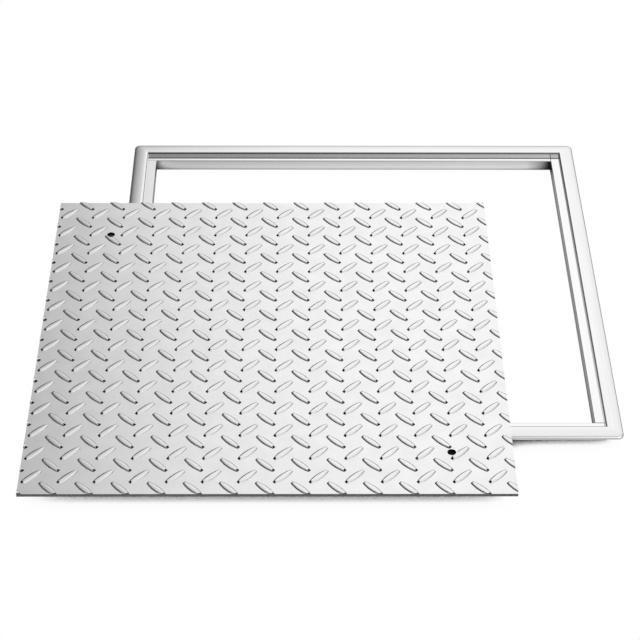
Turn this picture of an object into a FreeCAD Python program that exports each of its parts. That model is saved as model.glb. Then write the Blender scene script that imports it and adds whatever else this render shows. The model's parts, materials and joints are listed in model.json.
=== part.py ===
import FreeCAD, Part
import math
import os

import Sketcher

# Inspection cover: a tread plate lying askew on its shallow recessed frame.
# Millimetres, +Z up. X runs to the right and Y to the back, with the floor at Z = 0.
# The origin is under the middle of the box around the frame and the plate as they lie.

doc = FreeCAD.newDocument("inspection_cover")

# Driving dimensions

SIZES = {
    # Frame, measured between the lips that the plate drops into
    "recess_width": 500.0,
    "recess_depth": 500.0,
    "frame_height": 18.0,
    "seat_drop": 5.0,
    # Rail section: a web, and a crowned flange with a short skirt along its outer edge
    "web_wall": 2.0,
    "flange_width": 17.0,
    "flange_wall": 3.0,
    "skirt_wall": 2.5,
    "skirt_depth": 1.0,
    "land_width": 4.0,
    "crown_radius": 120.0,
    "edge_round": 2.2,
    "corner_round": 6.0,
    # Support bars inside the lips
    "bar_width": 10.5,
    "bar_edge": 1.0,
    # Tread plate, and how far it lies from its place over the recess
    "side_play": 2.0,
    "end_play": 3.0,
    "sheet_wall": 3.5,
    "slide_left": 97.5,
    "slide_front": 108.0,
    # Raised lugs of the tread; the first one is measured from the left and back edges
    "lug_length": 26.0,
    "lug_width": 7.6,
    "lug_flat": 10.0,
    "lug_rise": 1.5,
    "lug_side_run": 0.9,
    "pitch_across": 35.8,
    "pitch_along": 34.4,
    "first_across": 12.3,
    "first_along": 20.2,
    # Lifting holes, from the nearest edges of the plate
    "hole_bore": 9.0,
    "rear_hole_side": 63.0,
    "rear_hole_end": 62.5,
    "fore_hole_side": 62.5,
    "fore_hole_end": 61.0,
}

sheet = doc.addObject("Spreadsheet::Sheet", "sizes")
for row, (alias, amount) in enumerate(SIZES.items(), start=1):
    sheet.set(f"A{row}", alias)
    sheet.set(f"B{row}", str(amount))
    sheet.setAlias(f"B{row}", alias)
doc.recompute()


def size(alias):
    return float(sheet.get(alias))


# Sizes that follow from the driving ones, as expressions on the sheet

PLATE_WIDTH = "(sizes.recess_width - 2 * sizes.side_play)"
PLATE_DEPTH = "(sizes.recess_depth - 2 * sizes.end_play)"
HALF_FRAME_X = "(sizes.recess_width / 2 + sizes.flange_width)"
HALF_FRAME_Y = "(sizes.recess_depth / 2 + sizes.flange_width)"
FRAME_X = (f"(max({HALF_FRAME_X}; {PLATE_WIDTH} / 2 + sizes.slide_left)"
           f" - max({HALF_FRAME_X}; {PLATE_WIDTH} / 2 - sizes.slide_left)) / 2")
FRAME_Y = (f"(max({HALF_FRAME_Y}; {PLATE_DEPTH} / 2 + sizes.slide_front)"
           f" - max({HALF_FRAME_Y}; {PLATE_DEPTH} / 2 - sizes.slide_front)) / 2")
PLATE_LEFT = f"({FRAME_X} - sizes.slide_left - {PLATE_WIDTH} / 2)"
PLATE_FRONT = f"({FRAME_Y} - sizes.slide_front - {PLATE_DEPTH} / 2)"

# The flange's outer edge is rounded as far as its face and the frame's corners leave room

CROWN_SPAN = "(sizes.flange_width - sizes.land_width)"
CROWN_DROP = f"(sizes.crown_radius - sqrt(sizes.crown_radius ^ 2 - {CROWN_SPAN} ^ 2))"
OUTER_FACE = f"(sizes.flange_wall + sizes.skirt_depth - {CROWN_DROP})"
ROUND_SHARE = 0.8
EDGE_ROUND = f"min(sizes.edge_round; {ROUND_SHARE} * sizes.corner_round; {ROUND_SHARE} * {OUTER_FACE})"

# The four sides of the frame: the size that a side runs along, the way from the frame's
# middle to its lip, and its turn about Z

SIDES = {
    "back": {"run": "recess_width", "toward": (0, 1), "turn": 0},
    "right": {"run": "recess_depth", "toward": (1, 0), "turn": -90},
    "front": {"run": "recess_width", "toward": (0, -1), "turn": 180},
    "left": {"run": "recess_depth", "toward": (-1, 0), "turn": 90},
}

UP = FreeCAD.Vector(0, 0, 1)
PARALLEL = 0.99  # least cosine between directions that count as the same


def originPlane(body, role):
    for feature in body.Origin.OriginFeatures:
        if feature.Role == role:
            return feature
    raise ValueError(role)


def newSketch(body, role, name):
    sketch = body.newObject("Sketcher::SketchObject", name)
    sketch.AttachmentSupport = [(originPlane(body, role), "")]
    sketch.MapMode = "FlatFace"
    return sketch


def addLine(sketch, start, end):
    first = FreeCAD.Vector(start[0], start[1], 0)
    last = FreeCAD.Vector(end[0], end[1], 0)
    return sketch.addGeometry(Part.LineSegment(first, last), False)


def addArc(sketch, middle, radius, start_angle, end_angle):
    circle = Part.Circle(FreeCAD.Vector(middle[0], middle[1], 0), UP, radius)
    return sketch.addGeometry(Part.ArcOfCircle(circle, start_angle, end_angle), False)


def closeLoop(sketch, loop, tangent=()):
    for first, second in zip(loop, loop[1:] + loop[:1]):
        kind = "Tangent" if (first, second) in tangent else "Coincident"
        sketch.addConstraint(Sketcher.Constraint(kind, first, 2, second, 1))


def squareUp(sketch, level, upright):
    for number in level:
        sketch.addConstraint(Sketcher.Constraint("Horizontal", number))
    for number in upright:
        sketch.addConstraint(Sketcher.Constraint("Vertical", number))


def bind(sketch, name, expression, kind, *parts):
    index = sketch.addConstraint(Sketcher.Constraint(kind, *parts))
    sketch.renameConstraint(index, name)
    sketch.setExpression(f"Constraints.{name}", expression)


def sideBody(label, side):
    toward_x, toward_y = side["toward"]
    body = doc.addObject("PartDesign::Body", label)
    body.Label = label
    body.Placement = FreeCAD.Placement(FreeCAD.Vector(), FreeCAD.Rotation(UP, side["turn"]))
    body.setExpression("Placement.Base.x", f"{FRAME_X} + {toward_x} * sizes.recess_width / 2")
    body.setExpression("Placement.Base.y", f"{FRAME_Y} + {toward_y} * sizes.recess_depth / 2")
    return body


# Rails: angles with a crowned flange, mitred at both ends, with the frame's corners rounded.
# In a side's own frame X runs along it, Y points outwards from the lip and Z is up.

def railSection(body):
    width = size("flange_width")
    height = size("frame_height")
    web = size("web_wall")
    under = height - size("flange_wall")
    skirt = width - size("skirt_wall")
    foot = under - size("skirt_depth")
    land = size("land_width")
    crown = size("crown_radius")
    lean = math.asin((width - land) / crown)
    edge_top = height - crown * (1 - math.cos(lean))

    sketch = newSketch(body, "YZ_Plane", "section")
    web_foot = addLine(sketch, (0, 0), (web, 0))
    web_back = addLine(sketch, (web, 0), (web, under))
    underside = addLine(sketch, (web, under), (skirt, under))
    skirt_back = addLine(sketch, (skirt, under), (skirt, foot))
    skirt_foot = addLine(sketch, (skirt, foot), (width, foot))
    outer_face = addLine(sketch, (width, foot), (width, edge_top))
    top = addArc(sketch, (land, height - crown), crown, math.pi / 2 - lean, math.pi / 2)
    flat_land = addLine(sketch, (land, height), (0, height))
    lip = addLine(sketch, (0, height), (0, 0))

    loop = [web_foot, web_back, underside, skirt_back, skirt_foot, outer_face, top, flat_land, lip]
    closeLoop(sketch, loop, tangent=[(top, flat_land)])
    squareUp(sketch, [web_foot, underside, skirt_foot, flat_land], [web_back, skirt_back, outer_face, lip])
    sketch.addConstraint(Sketcher.Constraint("Coincident", web_foot, 1, -1, 1))
    bind(sketch, "web", "sizes.web_wall", "DistanceX", web_foot, 1, web_foot, 2, web)
    bind(sketch, "rise", "sizes.frame_height", "DistanceY", lip, 2, lip, 1, height)
    bind(sketch, "wall", "sizes.flange_wall", "DistanceY", underside, 1, lip, 1, height - under)
    bind(sketch, "hem", "sizes.skirt_wall", "DistanceX", skirt_foot, 1, skirt_foot, 2, width - skirt)
    bind(sketch, "hang", "sizes.skirt_depth", "DistanceY", skirt_back, 2, skirt_back, 1, under - foot)
    bind(sketch, "reach", "sizes.flange_width", "DistanceX", lip, 1, outer_face, 2, width)
    bind(sketch, "land", "sizes.land_width", "DistanceX", flat_land, 2, flat_land, 1, land)
    bind(sketch, "crown", "sizes.crown_radius", "Radius", top, crown)
    return sketch


def railEnd(body, run):
    # What is taken off one end, seen from above: the mitre, then the rounded outer corner
    width = size("flange_width")
    rounding = size("corner_round")
    half = size(run) / 2
    middle = width - rounding
    past = width + rounding
    corner = middle + rounding * math.cos(math.pi / 4)

    sketch = newSketch(body, "XY_Plane", "end_outline")
    mitre = addLine(sketch, (half - rounding, -rounding), (half + corner, corner))
    rounded = addArc(sketch, (half + middle, middle), rounding, math.pi / 4, math.pi / 2)
    clear = addLine(sketch, (half + middle, width), (half + middle, past))
    far = addLine(sketch, (half + middle, past), (half + past, past))
    side = addLine(sketch, (half + past, past), (half + past, -rounding))
    near = addLine(sketch, (half + past, -rounding), (half - rounding, -rounding))

    closeLoop(sketch, [mitre, rounded, clear, far, side, near])
    squareUp(sketch, [far, near], [clear, side])
    sketch.addConstraint(Sketcher.Constraint("PointOnObject", rounded, 3, mitre))
    sketch.addConstraint(Sketcher.Constraint("Vertical", rounded, 3, rounded, 2))
    bind(sketch, "round", "sizes.corner_round", "Radius", rounded, rounding)
    bind(sketch, "along", f"sizes.{run} / 2 + sizes.flange_width - sizes.corner_round",
         "DistanceX", -1, 1, rounded, 3, half + middle)
    bind(sketch, "outer", "sizes.flange_width", "DistanceY", -1, 1, rounded, 2, width)
    bind(sketch, "start_x", f"sizes.{run} / 2 - sizes.corner_round",
         "DistanceX", -1, 1, mitre, 1, half - rounding)
    bind(sketch, "start_y", "sizes.corner_round", "DistanceY", mitre, 1, -1, 1, rounding)
    bind(sketch, "past_x", "2 * sizes.corner_round", "DistanceX", rounded, 3, side, 1, past - middle)
    bind(sketch, "past_y", "2 * sizes.corner_round", "DistanceY", rounded, 3, side, 1, past - middle)
    return sketch


def isCrown(face):
    return isinstance(face.Surface, Part.Cylinder) and abs(face.Surface.Axis.x) > PARALLEL


def isOutside(face):
    if isinstance(face.Surface, Part.Cylinder):
        return abs(face.Surface.Axis.z) > PARALLEL
    return isinstance(face.Surface, Part.Plane) and face.normalAt(0, 0).y > PARALLEL


def outerTopEdges(shape):
    # Edges where the crown meets the outer face and the rounded corners
    names = []
    for number, edge in enumerate(shape.Edges, start=1):
        faces = shape.ancestorsOfType(edge, Part.Face)
        if any(isCrown(face) for face in faces) and any(isOutside(face) for face in faces):
            names.append(f"Edge{number}")
    return names


def makeRail(name, side):
    run = side["run"]
    body = sideBody(f"{name}_rail", side)

    length = body.newObject("PartDesign::Pad", "length")
    length.Profile = railSection(body)
    length.Midplane = True
    length.setExpression("Length", f"sizes.{run} + 2 * sizes.flange_width")
    doc.recompute()

    end_cut = body.newObject("PartDesign::Pocket", "end_cut")
    end_cut.Profile = railEnd(body, run)
    end_cut.Type = "ThroughAll"
    end_cut.Reversed = True
    doc.recompute()

    both_ends = body.newObject("PartDesign::Mirrored", "both_ends")
    both_ends.Originals = [end_cut]
    both_ends.MirrorPlane = (originPlane(body, "YZ_Plane"), [""])
    body.Tip = both_ends
    doc.recompute()

    soft_edge = body.newObject("PartDesign::Fillet", "soft_edge")
    soft_edge.Base = (both_ends, outerTopEdges(both_ends.Shape))
    soft_edge.setExpression("Radius", EDGE_ROUND)
    body.Tip = soft_edge
    return body


# Support bars: set inside the lips in a ring, each one running into the side of the next

def makeBar(name, side):
    run = side["run"]
    body = sideBody(f"{name}_bar", side)

    stock = body.newObject("PartDesign::AdditiveBox", "stock")
    stock.setExpression("Length", f"sizes.{run} - sizes.bar_width")
    stock.setExpression("Width", "sizes.bar_width")
    stock.setExpression("Height", "sizes.frame_height - sizes.seat_drop")
    stock.setExpression("Placement.Base.x", f"-sizes.{run} / 2")
    stock.setExpression("Placement.Base.y", "-sizes.bar_width")
    doc.recompute()

    long_edges = []
    for number, edge in enumerate(stock.Shape.Edges, start=1):
        if abs(edge.tangentAt(edge.FirstParameter).x) > PARALLEL:
            long_edges.append(f"Edge{number}")
    eased = body.newObject("PartDesign::Fillet", "eased")
    eased.Base = (stock, long_edges)
    eased.setExpression("Radius", "sizes.bar_edge")
    body.Tip = eased
    return body


# Tread plate: a sheet with rows of lugs that lean one way and the other, and two holes

LUG_LEAN = 45


def lugOutline(tip, tip_level, broad, level):
    flat = size("lug_flat") / 2
    points = [(tip, 0, tip_level), (flat, broad, level), (-flat, broad, level),
              (-tip, 0, tip_level), (-flat, -broad, level), (flat, -broad, level)]
    return [FreeCAD.Vector(*point) for point in points]


def flatFace(points):
    return Part.Face(Part.makePolygon(points + points[:1]))


def makeLug(lean):
    # A flat crest whose sides run down to the sheet and a little way into it, and at each
    # end a tip that tapers off onto the sheet
    flat = size("lug_flat") / 2
    tip = size("lug_length") / 2
    broad = size("lug_width") / 2
    rise = size("lug_rise")
    side_run = size("lug_side_run")
    depth = min(rise, size("sheet_wall")) / 2
    spread = 1 + side_run / broad * depth / rise
    root = lugOutline(flat + spread * (tip - flat), -depth, spread * broad, -depth)
    top = lugOutline(tip, 0, broad - side_run, rise)
    crest = [top[1], top[2], top[4], top[5]]
    right_tip = [top[0], top[1], top[5]]
    left_tip = [top[3], top[4], top[2]]
    faces = [flatFace(points) for points in (root[::-1], crest, right_tip, left_tip)]
    for number in range(len(root)):
        faces.append(flatFace([root[number - 1], root[number], top[number], top[number - 1]]))
    lug = Part.makeSolid(Part.makeShell(faces))
    lug.rotate(FreeCAD.Vector(), UP, lean)
    return lug


def lugPlaces(first, pitch, span):
    # Every place on a line at which a lug reaches onto the sheet
    reach = size("lug_length") / 2 * math.cos(math.radians(LUG_LEAN))
    lowest = math.ceil((-reach - first) / pitch)
    highest = math.floor((span + reach - first) / pitch)
    return [first + pitch * number for number in range(lowest, highest + 1)]


def lugField(name, lugs):
    field = doc.addObject("Part::Feature", name)
    field.Shape = Part.makeCompound(lugs)
    return field


def makeLugs(blank):
    # The second rows lie half a pitch from the first, both ways
    edges = blank.Shape.BoundBox
    across = size("pitch_across")
    along = size("pitch_along")
    whole = []
    overhanging = []
    for lug, shift in ((makeLug(LUG_LEAN), 0), (makeLug(-LUG_LEAN), 1 / 2)):
        for x in lugPlaces(size("first_across") + shift * across, across, edges.XLength):
            for y in lugPlaces(size("first_along") + shift * along, along, edges.YLength):
                copy = lug.copy()
                copy.translate(FreeCAD.Vector(edges.XMin + x, edges.YMax - y, edges.ZMax))
                reach = copy.BoundBox
                inside_x = edges.XMin < reach.XMin and reach.XMax < edges.XMax
                inside_y = edges.YMin < reach.YMin and reach.YMax < edges.YMax
                (whole if inside_x and inside_y else overhanging).append(copy)
    return lugField("whole_lugs", whole), lugField("overhanging_lugs", overhanging)


def plateBlock(name, height):
    block = doc.addObject("Part::Box", name)
    block.setExpression("Length", PLATE_WIDTH)
    block.setExpression("Width", PLATE_DEPTH)
    block.setExpression("Height", height)
    block.setExpression("Placement.Base.x", PLATE_LEFT)
    block.setExpression("Placement.Base.y", PLATE_FRONT)
    block.setExpression("Placement.Base.z", "sizes.frame_height")
    return block


def plateHole(name, from_left, from_front):
    hole = doc.addObject("Part::Cylinder", name)
    hole.setExpression("Radius", "sizes.hole_bore / 2")
    hole.setExpression("Height", "2 * (sizes.sheet_wall + sizes.lug_rise)")
    hole.setExpression("Placement.Base.x", f"{PLATE_LEFT} + {from_left}")
    hole.setExpression("Placement.Base.y", f"{PLATE_FRONT} + {from_front}")
    hole.setExpression("Placement.Base.z", "sizes.frame_height - sizes.sheet_wall / 2")
    return hole


def makePlate():
    blank = plateBlock("blank", "sizes.sheet_wall")
    outline = plateBlock("outline", "sizes.sheet_wall + 2 * sizes.lug_rise")
    rear_hole = plateHole("rear_hole", "sizes.rear_hole_side", f"{PLATE_DEPTH} - sizes.rear_hole_end")
    fore_hole = plateHole("fore_hole", f"{PLATE_WIDTH} - sizes.fore_hole_side", "sizes.fore_hole_end")
    doc.recompute()

    whole, overhanging = makeLugs(blank)
    sheared = doc.addObject("Part::Common", "sheared_lugs")
    sheared.Base = overhanging
    sheared.Tool = outline
    sheared.Refine = False
    rolled = doc.addObject("Part::MultiFuse", "rolled")
    rolled.Shapes = [blank, whole, sheared]
    rolled.Refine = False
    holes = doc.addObject("Part::Compound", "holes")
    holes.Links = [rear_hole, fore_hole]
    plate = doc.addObject("Part::Cut", "cover_plate")
    plate.Base = rolled
    plate.Tool = holes
    plate.Refine = False
    plate.Label = "cover_plate"
    return plate


pieces = [makeRail(name, side) for name, side in SIDES.items()]
pieces += [makeBar(name, side) for name, side in SIDES.items()]
pieces.append(makePlate())
doc.recompute()

# Nothing is written unless every object is sound

for item in doc.Objects:
    if "Invalid" in item.State or "Error" in item.State:
        raise RuntimeError(f"{item.Label} failed: {item.State}")
for piece in pieces:
    if piece.Shape.isNull() or not piece.Shape.isValid():
        raise RuntimeError(f"{piece.Label} has no sound shape")
    if len(piece.Shape.Solids) != 1:
        raise RuntimeError(f"{piece.Label} has {len(piece.Shape.Solids)} solids")

os.makedirs("parts", exist_ok=True)
for piece in pieces:
    piece.Shape.exportStep(f"parts/{piece.Label}.step")
    print(piece.Label, round(piece.Shape.Volume), piece.Shape.BoundBox)
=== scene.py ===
import json
import math

import bpy
from mathutils import Matrix, Vector


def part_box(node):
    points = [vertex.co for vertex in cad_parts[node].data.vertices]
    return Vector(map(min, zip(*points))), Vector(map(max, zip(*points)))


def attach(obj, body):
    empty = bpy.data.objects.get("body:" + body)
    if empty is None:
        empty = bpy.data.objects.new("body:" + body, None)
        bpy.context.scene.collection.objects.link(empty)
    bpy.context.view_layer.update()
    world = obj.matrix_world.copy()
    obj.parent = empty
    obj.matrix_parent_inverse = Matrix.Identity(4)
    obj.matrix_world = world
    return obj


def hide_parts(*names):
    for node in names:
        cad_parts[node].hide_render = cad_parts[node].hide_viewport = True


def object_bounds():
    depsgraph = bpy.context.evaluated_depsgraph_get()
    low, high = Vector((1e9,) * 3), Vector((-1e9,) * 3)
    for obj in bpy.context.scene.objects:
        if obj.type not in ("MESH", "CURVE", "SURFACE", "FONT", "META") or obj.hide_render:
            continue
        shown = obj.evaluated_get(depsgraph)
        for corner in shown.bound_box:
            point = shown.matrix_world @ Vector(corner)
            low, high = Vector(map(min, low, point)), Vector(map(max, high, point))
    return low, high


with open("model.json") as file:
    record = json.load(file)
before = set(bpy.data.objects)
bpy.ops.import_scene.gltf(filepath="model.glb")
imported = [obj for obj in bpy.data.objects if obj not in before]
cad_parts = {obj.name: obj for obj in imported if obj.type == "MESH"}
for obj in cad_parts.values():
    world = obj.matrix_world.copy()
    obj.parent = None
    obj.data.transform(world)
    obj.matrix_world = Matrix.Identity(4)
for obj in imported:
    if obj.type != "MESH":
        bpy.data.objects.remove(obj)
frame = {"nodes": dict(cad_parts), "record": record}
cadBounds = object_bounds()
print("frame loaded:", len(frame["nodes"]), "nodes")

mm = 0.001
sides = ("back", "right", "front", "left")


# Small helpers for working in edit mode

def deselectAll():
    if bpy.context.mode != "OBJECT":
        bpy.ops.object.mode_set(mode="OBJECT")
    bpy.ops.object.select_all(action="DESELECT")


def makeActive(piece):
    deselectAll()
    piece.select_set(True)
    bpy.context.view_layer.objects.active = piece


def editPiece(piece, selectAll=True):
    makeActive(piece)
    bpy.ops.object.mode_set(mode="EDIT")
    bpy.ops.mesh.select_mode(type="VERT")
    bpy.ops.mesh.select_all(action="SELECT" if selectAll else "DESELECT")


def objectMode():
    bpy.ops.object.mode_set(mode="OBJECT")


def pick(piece, verts=None, edges=None):
    # selects vertices or edges by their place, and leaves edit mode open in that select mode
    editPiece(piece, selectAll=False)
    bpy.ops.mesh.select_mode(type="VERT" if verts else "EDGE")
    objectMode()
    mesh = piece.data
    if verts:
        for v in mesh.vertices:
            v.select = verts(v.co)
    if edges:
        for e in mesh.edges:
            e.select = edges(mesh.vertices[e.vertices[0]].co, mesh.vertices[e.vertices[1]].co)
    bpy.ops.object.mode_set(mode="EDIT")


def copyPiece(piece, name):
    twin = piece.copy()
    twin.data = piece.data.copy()
    twin.name = name
    twin.data.name = name
    bpy.context.scene.collection.objects.link(twin)
    return twin


def joinPieces(pieces, name):
    deselectAll()
    for piece in pieces:
        piece.select_set(True)
    bpy.context.view_layer.objects.active = pieces[0]
    bpy.ops.object.join()
    pieces[0].name = name
    pieces[0].data.name = name
    return pieces[0]


def applyModifier(piece, kind, **values):
    makeActive(piece)
    modifier = piece.modifiers.new(kind.lower(), kind)
    for key, value in values.items():
        setattr(modifier, key, value)
    bpy.ops.object.modifier_apply(modifier=modifier.name)


def addBox(name, low, high):
    deselectAll()
    bpy.ops.mesh.primitive_cube_add(size=1, location=(0, 0, 0))
    box = bpy.context.object
    box.name = name
    box.data.name = name
    editPiece(box)
    bpy.ops.transform.resize(value=[b - a for a, b in zip(low, high)])
    bpy.ops.transform.translate(value=[(a + b) / 2 for a, b in zip(low, high)])
    objectMode()
    return box


def settlePiece(piece, angle):
    # the mesh holds the place, and edges sharper than the angle stay crisp
    makeActive(piece)
    bpy.ops.object.transform_apply(location=True, rotation=True, scale=True)
    bpy.ops.object.shade_smooth_by_angle(angle=math.radians(angle))


# Node helpers

def newMaterial(name):
    material = bpy.data.materials.new(name)
    material.use_nodes = True
    nodes = material.node_tree.nodes
    return material, nodes, material.node_tree.links, nodes["Principled BSDF"]


def stretchedNoise(nodes, links, stretch, scale, detail):
    coords = nodes.new("ShaderNodeTexCoord")
    mapping = nodes.new("ShaderNodeMapping")
    mapping.inputs["Scale"].default_value = stretch
    noise = nodes.new("ShaderNodeTexNoise")
    noise.inputs["Scale"].default_value = scale
    noise.inputs["Detail"].default_value = detail
    links.new(coords.outputs["Object"], mapping.inputs["Vector"])
    links.new(mapping.outputs["Vector"], noise.inputs["Vector"])
    return noise.outputs["Fac"]


def spread(nodes, links, source, low, high, fromLow=0.3, fromHigh=0.7):
    # most of a noise lies between 0.3 and 0.7
    ranged = nodes.new("ShaderNodeMapRange")
    ranged.inputs["From Min"].default_value = fromLow
    ranged.inputs["From Max"].default_value = fromHigh
    ranged.inputs["To Min"].default_value = low
    ranged.inputs["To Max"].default_value = high
    links.new(source, ranged.inputs["Value"])
    return ranged.outputs["Result"]


def colourMix(nodes, blend="MIX"):
    # gives the factor, the two colours and the result
    mix = nodes.new("ShaderNodeMix")
    mix.data_type = "RGBA"
    mix.blend_type = blend
    return mix.inputs[0], mix.inputs[6], mix.inputs[7], mix.outputs[2]


def toneOf(nodes, links, source, finish):
    factor, first, second, result = colourMix(nodes)
    first.default_value = (*finish["dark"], 1)
    second.default_value = (*finish["light"], 1)
    links.new(spread(nodes, links, source, 0, 1), factor)
    return result


def bumpOf(nodes, links, source, strength, distance, normal=None):
    bump = nodes.new("ShaderNodeBump")
    bump.inputs["Strength"].default_value = strength
    bump.inputs["Distance"].default_value = distance
    links.new(source, bump.inputs["Height"])
    if normal:
        links.new(normal, bump.inputs["Normal"])
    return bump.outputs["Normal"]


def addRamp(nodes, stops):
    ramp = nodes.new("ShaderNodeValToRGB")
    elements = ramp.color_ramp.elements
    elements.remove(elements[1])
    for index, (place, level) in enumerate(stops):
        stop = elements[0] if index == 0 else elements.new(place)
        stop.position = place
        stop.color = (level, level, level, 1)
    return ramp


def combine(nodes, links, kind, first, second):
    joint = nodes.new("ShaderNodeMath")
    joint.operation = kind
    links.new(first, joint.inputs[0])
    links.new(second, joint.inputs[1])
    return joint.outputs["Value"]


# Frame: a crowned flange round the recess, mitred into four rails

rail = {
    "lipRound": 1.5 * mm,
    "lipSteps": 5,
    "lipShadeDepth": 2.3 * mm,  # the lip's strip of painted shade starts this far below the top
    "land": 4.0 * mm,  # flat part of the flange, beside the lip
    "crownRadius": 120 * mm,
    "crownSteps": (7 * mm, 10 * mm, 12.5 * mm),  # where the crown is divided, out from the lip
    "edgeRound": 2.2 * mm,
    "edgeSteps": 6,
    "skirtWall": 2.5 * mm,
    "skirtFoot": 14.0 * mm,  # the skirt's lower end, above the floor
    "flangeWall": 3.0 * mm,
    "webWall": 2.0 * mm,
    "lipCorner": 0.15 * mm,  # corner radius at the lip, seen from above
    "outerCorner": 6.5 * mm,  # and at the outer face
    "cornerSteps": 10,
    "weld": 0.01 * mm,
    "cutSlack": 0.001 * mm,  # less than the spacing of the points at the lip's corners
    "smoothAngle": 35,
    "flush": 0.05 * mm,  # faces this near the recess are the lip's own
    "easedTurn": 0.05,  # faces turned this far to the back are on the front lip's rounding
}

lipLeft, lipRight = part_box("left_rail")[1].x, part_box("right_rail")[0].x
lipFront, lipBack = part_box("front_rail")[1].y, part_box("back_rail")[0].y
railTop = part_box("back_rail")[1].z
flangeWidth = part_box("back_rail")[1].y - lipBack
frameMiddle = Vector(((lipLeft + lipRight) / 2, (lipFront + lipBack) / 2, 0))
halfRecess = Vector(((lipRight - lipLeft) / 2, (lipBack - lipFront) / 2, 0))


def crownHeight(out):
    past = max(out - rail["land"], 0)
    return railTop - rail["crownRadius"] + math.sqrt(rail["crownRadius"] ** 2 - past ** 2)


def railProfile():
    # (distance out from the lip, height) all round the section
    lipRound, edgeRound = rail["lipRound"], rail["edgeRound"]
    points = [(0, 0), (0, railTop - rail["lipShadeDepth"])]
    for step in range(rail["lipSteps"] + 1):
        turn = math.pi / 2 * step / rail["lipSteps"]
        points.append((lipRound * (1 - math.cos(turn)), railTop - lipRound * (1 - math.sin(turn))))
    crownEnd = flangeWidth - edgeRound
    crownSteps = [rail["land"], *rail["crownSteps"], crownEnd]
    points += [(out, crownHeight(out)) for out in crownSteps]
    lean = math.asin((crownEnd - rail["land"]) / rail["crownRadius"])
    drop = crownHeight(crownEnd) - edgeRound * math.cos(lean)
    for step in range(1, rail["edgeSteps"] + 1):
        turn = lean + (math.pi / 2 - lean) * step / rail["edgeSteps"]
        points.append((crownEnd + edgeRound * math.sin(turn), drop + edgeRound * math.cos(turn)))
    # down the skirt, back under the flange and down the web
    underside = railTop - rail["flangeWall"]
    skirtInside = flangeWidth - rail["skirtWall"]
    points += [(flangeWidth, rail["skirtFoot"]), (skirtInside, rail["skirtFoot"]), (skirtInside, underside)]
    points += [(rail["webWall"], underside), (rail["webWall"], 0)]
    return points


def cornerRadius(out):
    share = min(max(out / flangeWidth, 0), 1)
    return rail["lipCorner"] + (rail["outerCorner"] - rail["lipCorner"]) * share


def addLoop(out, height):
    # one rounded square, in the mesh that is open in edit mode
    bpy.ops.mesh.select_all(action="DESELECT")
    middle = (frameMiddle.x, frameMiddle.y, height)
    bpy.ops.mesh.primitive_plane_add(size=2, location=middle)
    reach = (halfRecess.x + out, halfRecess.y + out, 1)
    bpy.ops.transform.resize(value=reach, center_override=middle)
    bpy.ops.mesh.bevel(affect="VERTICES", offset=cornerRadius(out),
                       segments=rail["cornerSteps"], profile=0.5)
    bpy.ops.mesh.delete(type="ONLY_FACE")


def railStrip(first, second):
    deselectAll()
    bpy.ops.mesh.primitive_plane_add(size=1)
    strip = bpy.context.object
    editPiece(strip)
    bpy.ops.mesh.delete(type="VERT")
    addLoop(*first)
    addLoop(*second)
    bpy.ops.mesh.select_all(action="SELECT")
    bpy.ops.mesh.bridge_edge_loops()
    objectMode()
    return strip


def frameRing():
    profile = railProfile()
    strips = [railStrip(a, b) for a, b in zip(profile, profile[1:] + profile[:1])]
    ring = joinPieces(strips, "frameRing")
    editPiece(ring)
    bpy.ops.mesh.remove_doubles(threshold=rail["weld"])
    bpy.ops.mesh.normals_make_consistent(inside=False)
    objectMode()
    return ring


def cutMitre(piece, corner, outward):
    editPiece(piece)
    bpy.ops.mesh.bisect(plane_co=corner, plane_no=outward, use_fill=True, clear_outer=True,
                        threshold=rail["cutSlack"])
    objectMode()


def makeRails():
    ring = frameRing()
    corners = {
        ("back", "right"): Vector((lipRight, lipBack, 0)),
        ("back", "left"): Vector((lipLeft, lipBack, 0)),
        ("front", "right"): Vector((lipRight, lipFront, 0)),
        ("front", "left"): Vector((lipLeft, lipFront, 0)),
    }
    toward = {
        "back": Vector((0, 1, 0)),
        "right": Vector((1, 0, 0)),
        "front": Vector((0, -1, 0)),
        "left": Vector((-1, 0, 0)),
    }
    rails = {}
    for side in sides:
        piece = copyPiece(ring, side + "Rail")
        for pair, corner in corners.items():
            if side in pair:
                other = pair[0] if pair[1] == side else pair[1]
                cutMitre(piece, corner, toward[other] - toward[side])
        settlePiece(piece, rail["smoothAngle"])
        rails[side] = piece
    bpy.data.objects.remove(ring)
    return rails


rails = makeRails()
print("rails cut from the ring:", [len(piece.data.polygons) for piece in rails.values()])


# Support bars inside the lips, each with its long inner top edge eased

bar = {
    "edge": 1.0 * mm,
    "edgeSteps": 5,
    "longRun": 100 * mm,  # edges longer than this run along the bar
    "near": 1.0 * mm,
    "smoothAngle": 35,
    "wallTurn": 0.9,  # a face turned this far to one side is a wall
    "easedTurn": 0.3,  # and this far a wall or its eased edge
}


def makeBar(side):
    low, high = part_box(side + "_bar")
    alongX = side in ("back", "front")
    piece = addBox(side + "Bar", low, high)

    def innerTopEdge(a, b):
        middle = (a + b) / 2 - frameMiddle
        if alongX:
            run = abs(b.x - a.x)
            inside = abs(middle.y) < halfRecess.y - bar["near"]
        else:
            run = abs(b.y - a.y)
            inside = abs(middle.x) < halfRecess.x - bar["near"]
        return run > bar["longRun"] and inside and min(a.z, b.z) > high.z - bar["near"]

    pick(piece, edges=innerTopEdge)
    bpy.ops.mesh.bevel(offset=bar["edge"], segments=bar["edgeSteps"], profile=0.5)
    objectMode()
    settlePiece(piece, bar["smoothAngle"])
    applyModifier(piece, "WEIGHTED_NORMAL", mode="FACE_AREA", keep_sharp=True)
    return piece


bars = {side: makeBar(side) for side in sides}
print("bars eased:", [len(piece.data.polygons) for piece in bars.values()])


# Tread plate: a sheet with raised oval lugs that lean left and right by turns, and two holes

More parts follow.
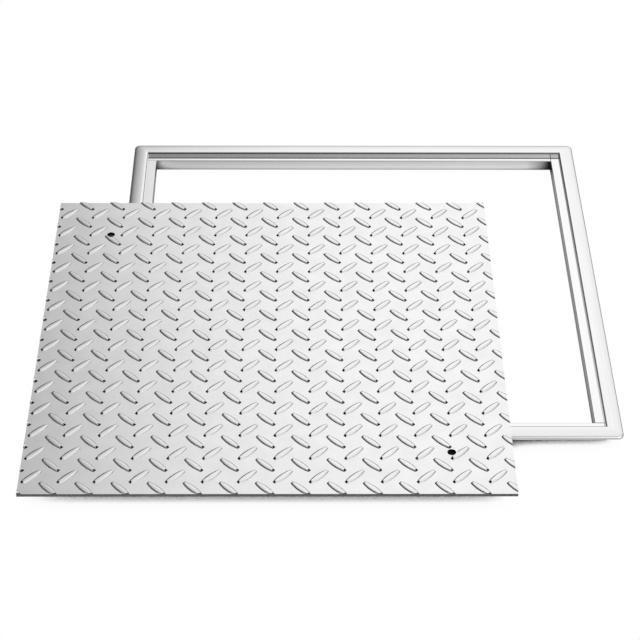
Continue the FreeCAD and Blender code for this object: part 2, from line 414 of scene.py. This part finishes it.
plate = {
    "sheet": 3.5 * mm,
    "lugLength": 26.2 * mm,
    "lugWidth": 7.6 * mm,
    "lugCorners": 12,
    "lugSides": [(0.42, 0.18), (0.8, 0.55), (1.15, 1.4), (1.3, 2.3)],  # rise and run from the foot, mm
    "tipStart": 0.45,  # share of the length from a lug's middle to its tips
    "tipWidth": 1.65,  # the tips are blunter than an ellipse's
    "tipRun": 1.05,  # and slope a little less than the sides
    "lugRoot": 1.0 * mm,  # how deep in the sheet a lug starts
    "lugSets": [("rightLugs", 45, 0), ("leftLugs", -45, 0.5)],  # lean in degrees, shift in pitches
    "acrossPitch": 35.8 * mm,
    "alongPitch": 34.4 * mm,
    "firstAcross": 12.3 * mm,  # the first lug's middle, from the left edge
    "firstAlong": 21.9 * mm,  # and from the back edge
    "spareColumns": 2,
    "holeBore": 9.0 * mm,
    "holeFace": 12.4 * mm,  # the lugs are cut back this wide round a hole
    "holeCorners": 40,
    "cutDepth": 20 * mm,
    "faceLift": 0.02 * mm,  # the cut round a hole stays this far above the sheet
    "boreStart": 5 * mm,  # and the bore's cut starts this far below it
    "overhang": 30 * mm,  # the blank is rolled this much larger all round
    "shearMargin": 10 * mm,
    "weld": 0.004 * mm,  # slivers that the cuts leave are merged within this
    "smoothAngle": 62,
    "flush": 0.05 * mm,  # faces higher than this above the sheet are on lugs
    "upright": 0.01,  # walls have normals that rise less than this
}

plateLow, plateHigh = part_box("cover_plate")
sheetTop = plateLow.z + plate["sheet"]
holePlaces = [Vector(mount["pos_m"]) for mount in frame["record"]["mounts"] if mount["kind"] == "bore"]


def makeLug(name, lean):
    deselectAll()
    bpy.ops.mesh.primitive_circle_add(vertices=plate["lugCorners"], radius=0.5, fill_type="NGON")
    lug = bpy.context.object
    lug.name = name
    editPiece(lug)
    length, width = plate["lugLength"], plate["lugWidth"]
    blunt = math.pi / plate["lugCorners"]  # a short face at each tip, in place of a corner
    bpy.ops.transform.rotate(value=blunt, orient_axis="Z", center_override=(0, 0, 0))
    bpy.ops.transform.resize(value=(length, width, 1))
    objectMode()
    pick(lug, verts=lambda co: abs(co.x) > plate["tipStart"] * length)
    bpy.ops.transform.resize(value=(1, plate["tipWidth"], 1), center_override=(0, 0, 0))
    bpy.ops.mesh.select_all(action="SELECT")
    bpy.ops.transform.translate(value=(0, 0, -plate["lugRoot"]))
    bpy.ops.mesh.extrude_region_move(TRANSFORM_OT_translate={"value": (0, 0, plate["lugRoot"])})
    # the sides rise in rings that draw in towards the flat top
    height, run = 0, 0
    for nextHeight, nextRun in plate["lugSides"]:
        rise = (nextHeight - height) * mm
        bpy.ops.mesh.extrude_region_move(TRANSFORM_OT_translate={"value": (0, 0, rise)})
        shrink = [(size - 2 * nextRun * share * mm) / (size - 2 * run * share * mm)
                  for size, share in ((length, plate["tipRun"]), (width, 1))]
        bpy.ops.transform.resize(value=(*shrink, 1))
        height, run = nextHeight, nextRun
    bpy.ops.mesh.select_all(action="SELECT")
    bpy.ops.mesh.normals_make_consistent(inside=False)
    bpy.ops.transform.rotate(value=math.radians(-lean), orient_axis="Z", center_override=(0, 0, 0))
    objectMode()
    return lug


def lugField(name, lean, shift):
    # rows and columns that run past the back, left and right edges of the sheet
    field = makeLug(name, lean)
    across, along = plate["acrossPitch"], plate["alongPitch"]
    columns = math.ceil((plateHigh.x - plateLow.x) / across) + plate["spareColumns"]
    startY = plateHigh.y - plate["firstAlong"] - (shift - 1) * along
    rows = math.floor((startY - plateLow.y) / along) + 1  # none has its middle past the front edge
    applyModifier(field, "ARRAY", count=columns, use_relative_offset=False, use_constant_offset=True,
                  constant_offset_displace=(across, 0, 0))
    applyModifier(field, "ARRAY", count=rows, use_relative_offset=False, use_constant_offset=True,
                  constant_offset_displace=(0, -along, 0))
    startX = plateLow.x + plate["firstAcross"] + (shift - 1) * across
    editPiece(field)
    bpy.ops.transform.translate(value=(startX, startY, sheetTop))
    objectMode()
    return field


def makeHole(place, width, bottom):
    deselectAll()
    depth = plate["cutDepth"]
    bpy.ops.mesh.primitive_cylinder_add(vertices=plate["holeCorners"], radius=width / 2, depth=depth,
                                        location=(place.x, place.y, bottom + depth / 2))
    hole = bpy.context.object
    makeActive(hole)
    bpy.ops.object.transform_apply(location=True)
    return hole


def boolean(piece, tool, operation):
    applyModifier(piece, "BOOLEAN", operation=operation, solver="MANIFOLD", object=tool)
    bpy.data.objects.remove(tool)


def makePlate():
    over, margin = plate["overhang"], plate["shearMargin"]
    blank = addBox("coverPlate", (plateLow.x - over, plateLow.y - over, plateLow.z),
                   (plateHigh.x + over, plateHigh.y + over, sheetTop))
    for name, lean, shift in plate["lugSets"]:
        boolean(blank, lugField(name, lean, shift), "UNION")
    outline = addBox("outline", (plateLow.x, plateLow.y, plateLow.z - margin),
                     (plateHigh.x, plateHigh.y, plateHigh.z + margin))
    boolean(blank, outline, "INTERSECT")
    for place in holePlaces:
        boolean(blank, makeHole(place, plate["holeFace"], sheetTop + plate["faceLift"]), "DIFFERENCE")
        boolean(blank, makeHole(place, plate["holeBore"], plateLow.z - plate["boreStart"]), "DIFFERENCE")
    editPiece(blank)
    bpy.ops.mesh.remove_doubles(threshold=plate["weld"])
    bpy.ops.mesh.dissolve_degenerate(threshold=plate["weld"])
    objectMode()
    settlePiece(blank, plate["smoothAngle"])
    applyModifier(blank, "WEIGHTED_NORMAL", mode="FACE_AREA", keep_sharp=True)
    return blank


coverPlate = makePlate()
print("plate rolled, sheared and drilled:", len(coverPlate.data.polygons), "faces")


# Finishes: a noise is given as scale and detail

railFinish = {
    "dark": (0.87, 0.87, 0.875),
    "light": (0.94, 0.94, 0.945),
    "roughness": (0.09, 0.13),
    "streaks": (1400.0, 2.0),
    "bump": 0.01,
}

barFinish = {
    "dark": (0.9, 0.9, 0.905),
    "light": (0.96, 0.96, 0.965),
    "roughness": (0.05, 0.1),
    "streaks": (900.0, 2.0),
    "bump": 0.01,
    # painted shade on the back bar's wall, darker towards its corners: x in metres, and the share of the
    # tone that is left
    "cornerShade": [(-0.2, 0.76), (0, 0.93), (0.2, 1.0), (0.25, 0.95), (0.265, 0.5), (0.277, 0.06)],
}

drawing = {
    "pull": 0.006,  # how much the streaks are drawn out
    "cloud": (28.0, 3.0),
    "depth": 0.1 * mm,
}

sheetFinish = {
    "dark": (0.89, 0.89, 0.895),
    "light": (0.95, 0.95, 0.955),
    "roughness": (0.17, 0.21),
    "cloud": (45.0, 4.0),
    "grain": (900.0, 3.0),
    "grainPull": 0.25,
    "grainDepth": 0.05 * mm,
    "swell": (60.0, 2.0),
    "swellDepth": 1 * mm,
    "bump": 0.03,
}

# the cut sides of the plate: dark partly for their rough cut, and partly as painted shade
edgeCutAndShade = {
    "dark": (0.14, 0.14, 0.145),
    "light": (0.27, 0.27, 0.275),
    "roughness": (0.42, 0.6),
    "bump": 0.25,
}

# painted shade: the bores are near black
boreShadeFinish = {
    "dark": (0.02, 0.02, 0.02),
    "light": (0.06, 0.06, 0.06),
    "roughness": (0.5, 0.7),
    "bump": 0.25,
}

# painted shade: near black ends on the lugs
endShadeFinish = {
    "dark": (0.01, 0.01, 0.01),
    "light": (0.04, 0.04, 0.04),
    "roughness": (0.4, 0.6),
    "bump": 0.1,
}

# painted shade round the lugs' feet and up their front left sides
feetShadeFinish = {
    "dark": (0.2, 0.2, 0.205),
    "light": (0.36, 0.36, 0.365),
    "roughness": (0.25, 0.4),
    "bump": 0.05,
}

# painted shade on the bars' walls that face left or right, and on the front bar's eased edge
wallShadeFinish = {
    "dark": (0.1, 0.1, 0.105),
    "light": (0.16, 0.16, 0.165),
    "roughness": (0.16, 0.24),
    "bump": 0.02,
}

# painted shade: a near black strip along the right rail's lip
rightLipShadeFinish = {
    "dark": (0.025, 0.025, 0.025),
    "light": (0.05, 0.05, 0.05),
    "roughness": (0.16, 0.24),
    "bump": 0.02,
}

# painted shade: a dark strip along the top of the other lips
lipShadeFinish = {
    "dark": (0.07, 0.07, 0.075),
    "light": (0.12, 0.12, 0.125),
    "roughness": (0.16, 0.24),
    "bump": 0.02,
}

dragging = {
    "marks": (700.0, 3.0),
    "pull": 0.15,  # how much the marks are drawn out downwards
    "depth": 0.1 * mm,
}


def drawnMetal(name, finish, alongX):
    # extruded metal, with fine streaks along its run
    material, nodes, links, shader = newMaterial(name)
    stretch = (drawing["pull"], 1, 1) if alongX else (1, drawing["pull"], 1)
    streaks = stretchedNoise(nodes, links, stretch, *finish["streaks"])
    cloud = stretchedNoise(nodes, links, (1, 1, 1), *drawing["cloud"])
    shader.inputs["Metallic"].default_value = 1
    links.new(toneOf(nodes, links, streaks, finish), shader.inputs["Base Color"])
    links.new(spread(nodes, links, cloud, *finish["roughness"]), shader.inputs["Roughness"])
    links.new(bumpOf(nodes, links, streaks, finish["bump"], drawing["depth"]), shader.inputs["Normal"])
    return material


def rolledMetal(name, finish):
    # sheet with a fine grain from the rolls, not quite flat
    material, nodes, links, shader = newMaterial(name)
    cloud = stretchedNoise(nodes, links, (1, 1, 1), *finish["cloud"])
    grain = stretchedNoise(nodes, links, (1, finish["grainPull"], 1), *finish["grain"])
    swell = stretchedNoise(nodes, links, (1, 1, 1), *finish["swell"])
    shader.inputs["Metallic"].default_value = 1
    links.new(toneOf(nodes, links, cloud, finish), shader.inputs["Base Color"])
    links.new(spread(nodes, links, grain, *finish["roughness"]), shader.inputs["Roughness"])
    soft = bumpOf(nodes, links, swell, finish["bump"], finish["swellDepth"])
    fine = bumpOf(nodes, links, grain, finish["bump"], finish["grainDepth"], soft)
    links.new(fine, shader.inputs["Normal"])
    return material


def dullAndShadedMetal(name, finish):
    # dark, dull metal with marks dragged down it: the plate's cut sides, and painted shade
    material, nodes, links, shader = newMaterial(name)
    marks = stretchedNoise(nodes, links, (1, 1, dragging["pull"]), *dragging["marks"])
    shader.inputs["Metallic"].default_value = 1
    links.new(toneOf(nodes, links, marks, finish), shader.inputs["Base Color"])
    links.new(spread(nodes, links, marks, *finish["roughness"]), shader.inputs["Roughness"])
    links.new(bumpOf(nodes, links, marks, finish["bump"], dragging["depth"]), shader.inputs["Normal"])
    return material


def cornerShadeMetal(name, finish, low, high):
    # drawn metal with painted shade that darkens it towards one end
    material = drawnMetal(name, finish, True)
    nodes, links = material.node_tree.nodes, material.node_tree.links
    coords = nodes.new("ShaderNodeTexCoord")
    split = nodes.new("ShaderNodeSeparateXYZ")
    links.new(coords.outputs["Object"], split.inputs["Vector"])
    ramp = addRamp(nodes, [((place - low) / (high - low), level) for place, level in finish["cornerShade"]])
    links.new(spread(nodes, links, split.outputs["X"], 0, 1, low, high), ramp.inputs["Fac"])
    factor, first, second, result = colourMix(nodes, "MULTIPLY")
    factor.default_value = 1
    colour = nodes["Principled BSDF"].inputs["Base Color"]
    links.new(colour.links[0].from_socket, first)
    links.new(ramp.outputs["Color"], second)
    links.new(result, colour)
    return material


def setFinish(piece, finishes):
    # gives each finish's place among the piece's materials
    piece.data.materials.clear()
    for material in finishes.values():
        piece.data.materials.append(material)
    return {name: index for index, name in enumerate(finishes)}


def onLip(face):
    # the upper part of the faces round the recess, and the rounding of the front lip, which take a strip of
    # painted shade
    reachX = abs(face.center.x - frameMiddle.x) - halfRecess.x
    reachY = abs(face.center.y - frameMiddle.y) - halfRecess.y
    reach = max(reachX, reachY)
    atFront = face.normal.y > rail["easedTurn"] and face.center.y < lipFront
    eased = atFront and reach < rail["lipRound"]
    return face.center.z > railTop - rail["lipShadeDepth"] and (reach < rail["flush"] or eased)


def barPart(side, face):
    # painted shade on the back bar's wall, darker towards its corners
    if side == "back" and face.normal.y < -bar["wallTurn"]:
        return "shadedCorners"
    # painted shade on the front bar's eased edge and on every wall that faces left or right
    if side == "front" and face.normal.y > bar["easedTurn"]:
        return "wall"
    return "wall" if abs(face.normal.x) > bar["wallTurn"] else "drawn"


for side in sides:
    alongX = side in ("back", "front")
    railPlaces = setFinish(rails[side], {
        "drawn": drawnMetal(side + "RailMetal", railFinish, alongX),
        "lip": dullAndShadedMetal(side + "LipShade", rightLipShadeFinish if side == "right" else lipShadeFinish),
    })
    for face in rails[side].data.polygons:
        face.material_index = railPlaces["lip" if onLip(face) else "drawn"]
    barFinishes = {
        "drawn": drawnMetal(side + "BarMetal", barFinish, alongX),
        "wall": dullAndShadedMetal(side + "WallShade", wallShadeFinish),
    }
    if side == "back":
        barFinishes["shadedCorners"] = cornerShadeMetal("backWallCornerShade", barFinish, lipLeft, lipRight)
    barPlaces = setFinish(bars[side], barFinishes)
    for face in bars[side].data.polygons:
        face.material_index = barPlaces[barPart(side, face)]


# Painted shade on the plate: how far along a lug it reaches, and on which faces it lies, by their normals

lugShade = {
    "tipReach": 2.4 * mm,  # painted shade sits in the last part of a lug
    "footReach": 3.1 * mm,  # and a little further along its foot
    "flankReach": 3.0 * mm,  # painted shade on the front left side ends this far past a lug's middle
    "facing": 0.2,  # faces turned to the front left or front right
    "foot": 0.8,  # normals that rise less than this are at the foot
    "top": 0.995,  # and more than this on the flat top, which stays unshaded
    "backTop": 0.97,
    "steep": 0.5,
    "flank": 0.85,
}


def lugAt(spot):
    # which way the lug under a spot leans, and how far along it the spot lies from its middle
    for name, lean, shift in plate["lugSets"]:
        offX = spot.x - plateLow.x - plate["firstAcross"] - shift * plate["acrossPitch"]
        offY = spot.y - plateHigh.y + plate["firstAlong"] + shift * plate["alongPitch"]
        offX -= round(offX / plate["acrossPitch"]) * plate["acrossPitch"]
        offY -= round(offY / plate["alongPitch"]) * plate["alongPitch"]
        tilt = math.radians(lean)
        along = offX * math.cos(tilt) + offY * math.sin(tilt)
        aside = offY * math.cos(tilt) - offX * math.sin(tilt)
        if abs(along) < plate["lugLength"] / 2 and abs(aside) < plate["lugWidth"] / 2:
            return lean, along
    return 0, 0


def lugPart(face):
    lean, along = lugAt(face.center)
    normal = face.normal
    frontRight = normal.x > lugShade["facing"] and normal.y < -lugShade["facing"]
    frontLeft = max(normal.x, normal.y) < -lugShade["facing"]
    # grime at the left end of every lug, and at both ends of those that lean left
    top = lugShade["backTop"] if lean < 0 and along < 0 else lugShade["top"]
    reach = lugShade["footReach"] if along < 0 and normal.z < lugShade["foot"] else lugShade["tipReach"]
    atEnd = lean and abs(along) > plate["lugLength"] / 2 - reach and normal.z < top
    # painted shade at the left end of every lug, and at both ends of those that lean left
    if atEnd and (lean < 0 or (along < 0 and not frontRight)):
        return "lugEndTone"
    # painted shade round the feet, and up the sides that face front and left
    atFoot = normal.z < lugShade["steep"] and not frontRight
    onFlank = normal.z < lugShade["flank"] and frontLeft and along < lugShade["flankReach"]
    return "foot" if atFoot or onFlank else "sheet"


def platePart(face):
    if abs(face.normal.z) < plate["upright"]:
        fromHole = min((face.center.xy - place.xy).length for place in holePlaces)
        return "bore" if fromHole < plate["holeBore"] else "edge"
    raised = face.center.z > sheetTop + plate["flush"]
    return lugPart(face) if raised else "sheet"


platePlaces = setFinish(coverPlate, {
    "sheet": rolledMetal("rolledSheet", sheetFinish),
    "edge": dullAndShadedMetal("shearedEdgeShade", edgeCutAndShade),
    "bore": dullAndShadedMetal("drilledBoreShade", boreShadeFinish),
    "lugEndTone": dullAndShadedMetal("lugEndShade", endShadeFinish),
    "foot": dullAndShadedMetal("lugFeetShade", feetShadeFinish),
})
for face in coverPlate.data.polygons:
    face.material_index = platePlaces[platePart(face)]
print("finishes set")


# The pieces hang from the root body, and the solids they stand for are hidden

for side in sides:
    frameParts = (
        (rails[side], side + "_rail", "frame_rail"),
        (bars[side], side + "_bar", "support_bar"),
    )
    for piece, node, slot in frameParts:
        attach(piece, "root")
        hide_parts(node)
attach(coverPlate, "root")
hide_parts("cover_plate")


# Stage, light and camera

stage = {
    "floorSize": 14.0,
    "floorDrop": 0.05 * mm,  # keeps the floor clear of the rails' feet
    "floorColour": (0.82, 0.82, 0.82, 1),
    "floorRoughness": 0.9,
    "reach": 150 * mm,  # how far off a thing still shades the floor
    # how open the floor is, and how bright it then looks: to the camera, and in the metal
    "shade": [(0, 0.0), (0.12, 0.02), (0.17, 0.6), (0.22, 0.95), (0.4, 0.985), (0.7, 1.0)],
    "mirrorShade": [(0, 0), (0.3, 0.04), (0.4, 0.18), (0.5, 0.34), (0.58, 0.54), (0.68, 0.8),
                    (0.75, 0.75), (0.85, 0.62), (1, 0.6)],
}

# Each ramp gives the light by how far a direction points one way, from -1 to 1
light = {
    "toward": (0.93, 0.20, 0.22),  # the bright side of the room
    "across": [(-1, 0.32), (-0.6, 0.26), (-0.25, 0.09), (-0.10, 0.05), (0.015, 0.08), (0.091, 0.16),
               (0.114, 0.19), (0.186, 0.55), (0.234, 0.82), (0.282, 0.97), (0.33, 1.01), (0.46, 1.01),
               (0.586, 0.86), (0.70, 0.94), (0.80, 0.8), (0.90, 0.5), (0.97, 0.3)],
    "upward": [(-0.05, 0.04), (0.1, 0.08), (0.25, 0.26), (0.4, 0.78), (0.5, 0.96), (0.58, 1.0),
               (0.65, 1.0), (0.70, 0.92), (0.78, 0.9), (0.85, 0.75), (0.92, 0.6), (1, 0.45)],
    # the ceiling, from left to right, from low to high and from front to back
    "overAcross": [(-1, 0.02), (-0.75, 0.04), (-0.6, 0.1), (-0.5, 0.22), (-0.42, 0.55), (-0.32, 0.68),
                   (-0.26, 0.72), (-0.175, 0.98), (0, 1.0)],
    "overUpward": [(0.6, 0.0), (0.72, 0.5), (0.78, 0.69), (0.84, 1.0), (0.95, 0.7), (1, 0.5)],
    "overBack": [(-0.5, 0.2), (0, 0.55), (0.3, 1.0)],
    "frontToward": (0.45, -0.75, 0.48),  # a softer light over the camera's right shoulder
    "front": [(0.80, 0.02), (0.83, 0.05), (0.86, 0.11), (0.90, 0.28), (0.93, 0.68), (0.97, 0.82)],
    "sideToward": (0.93, -0.2, 0.3),  # and a faint one low on the right
    "side": [(0.85, 0.0), (0.95, 0.3), (1, 0.35)],
}

view = {
    "place": (-27.35 * mm, -1794.74 * mm, 1430.99 * mm),
    "pitch": 38.712,  # degrees below level
    "yaw": 0.7505,
    "roll": 0.4802,
    "lens": 116.149,
    "sensor": 36,
    "farthest": 100,
}


def makeFloor():
    deselectAll()
    height = cadBounds[0][2] - stage["floorDrop"]
    bpy.ops.mesh.primitive_plane_add(size=stage["floorSize"], location=(0, 0, height))
    floor = bpy.context.object
    floor.name = "floor"
    material, nodes, links, shader = newMaterial("paleFloor")
    shader.inputs["Base Color"].default_value = stage["floorColour"]
    shader.inputs["Roughness"].default_value = stage["floorRoughness"]
    shelter = nodes.new("ShaderNodeAmbientOcclusion")
    shelter.inputs["Distance"].default_value = stage["reach"]
    shade = addRamp(nodes, stage["shade"])
    links.new(shelter.outputs["AO"], shade.inputs["Fac"])
    mirrored = addRamp(nodes, stage["mirrorShade"])
    links.new(shelter.outputs["AO"], mirrored.inputs["Fac"])
    rays = nodes.new("ShaderNodeLightPath")
    factor, first, second, tone = colourMix(nodes)
    links.new(rays.outputs["Is Camera Ray"], factor)
    links.new(mirrored.outputs["Color"], first)
    links.new(shade.outputs["Color"], second)
    glow = nodes.new("ShaderNodeEmission")
    links.new(tone, glow.inputs["Color"])
    # the glow is what is seen, in the metal too, and other rays meet the plain floor
    seen = rays.outputs["Is Camera Ray"]
    for kind in ("Is Glossy Ray", "Is Transmission Ray"):
        seen = combine(nodes, links, "MAXIMUM", seen, rays.outputs[kind])
    mix = nodes.new("ShaderNodeMixShader")
    links.new(seen, mix.inputs["Fac"])
    links.new(shader.outputs["BSDF"], mix.inputs[1])
    links.new(glow.outputs["Emission"], mix.inputs[2])
    links.new(mix.outputs["Shader"], nodes["Material Output"].inputs["Surface"])
    floor.data.materials.append(material)


def makeLight():
    world = bpy.data.worlds.new("studio")
    bpy.context.scene.world = world
    world.use_nodes = True
    nodes, links = world.node_tree.nodes, world.node_tree.links
    coords = nodes.new("ShaderNodeTexCoord")

    def level(toward, stops):
        along = nodes.new("ShaderNodeVectorMath")
        along.operation = "DOT_PRODUCT"
        along.inputs[1].default_value = Vector(toward).normalized()
        links.new(coords.outputs["Generated"], along.inputs[0])
        ramp = addRamp(nodes, [((place + 1) / 2, amount) for place, amount in stops])
        links.new(spread(nodes, links, along.outputs["Value"], 0, 1, -1, 1), ramp.inputs["Fac"])
        return ramp.outputs["Color"]

    upward = level((0, 0, 1), light["upward"])
    main = combine(nodes, links, "MULTIPLY", level(light["toward"], light["across"]), upward)
    overUpward = level((0, 0, 1), light["overUpward"])
    over = combine(nodes, links, "MULTIPLY", level((1, 0, 0), light["overAcross"]), overUpward)
    over = combine(nodes, links, "MULTIPLY", over, level((0, 1, 0), light["overBack"]))
    total = combine(nodes, links, "MAXIMUM", main, over)
    for name in ("front", "side"):
        total = combine(nodes, links, "ADD", total, level(light[name + "Toward"], light[name]))
    links.new(total, nodes["Background"].inputs["Strength"])
    nodes["Background"].inputs["Color"].default_value = (1, 1, 1, 1)


def makeCamera():
    data = bpy.data.cameras.new("photoView")
    data.lens = view["lens"]
    data.sensor_width = view["sensor"]
    data.clip_end = view["farthest"]
    camera = bpy.data.objects.new("photoView", data)
    bpy.context.scene.collection.objects.link(camera)
    yaw = Matrix.Rotation(math.radians(-view["yaw"]), 4, "Z")
    pitch = Matrix.Rotation(math.radians(90 - view["pitch"]), 4, "X")  # it starts looking straight down
    roll = Matrix.Rotation(math.radians(view["roll"]), 4, "Z")
    camera.matrix_world = Matrix.Translation(view["place"]) @ (yaw @ pitch @ roll)
    bpy.context.scene.camera = camera


makeFloor()
makeLight()
makeCamera()
bpy.context.scene.view_settings.view_transform = "Standard"
print("stage, light and camera set")
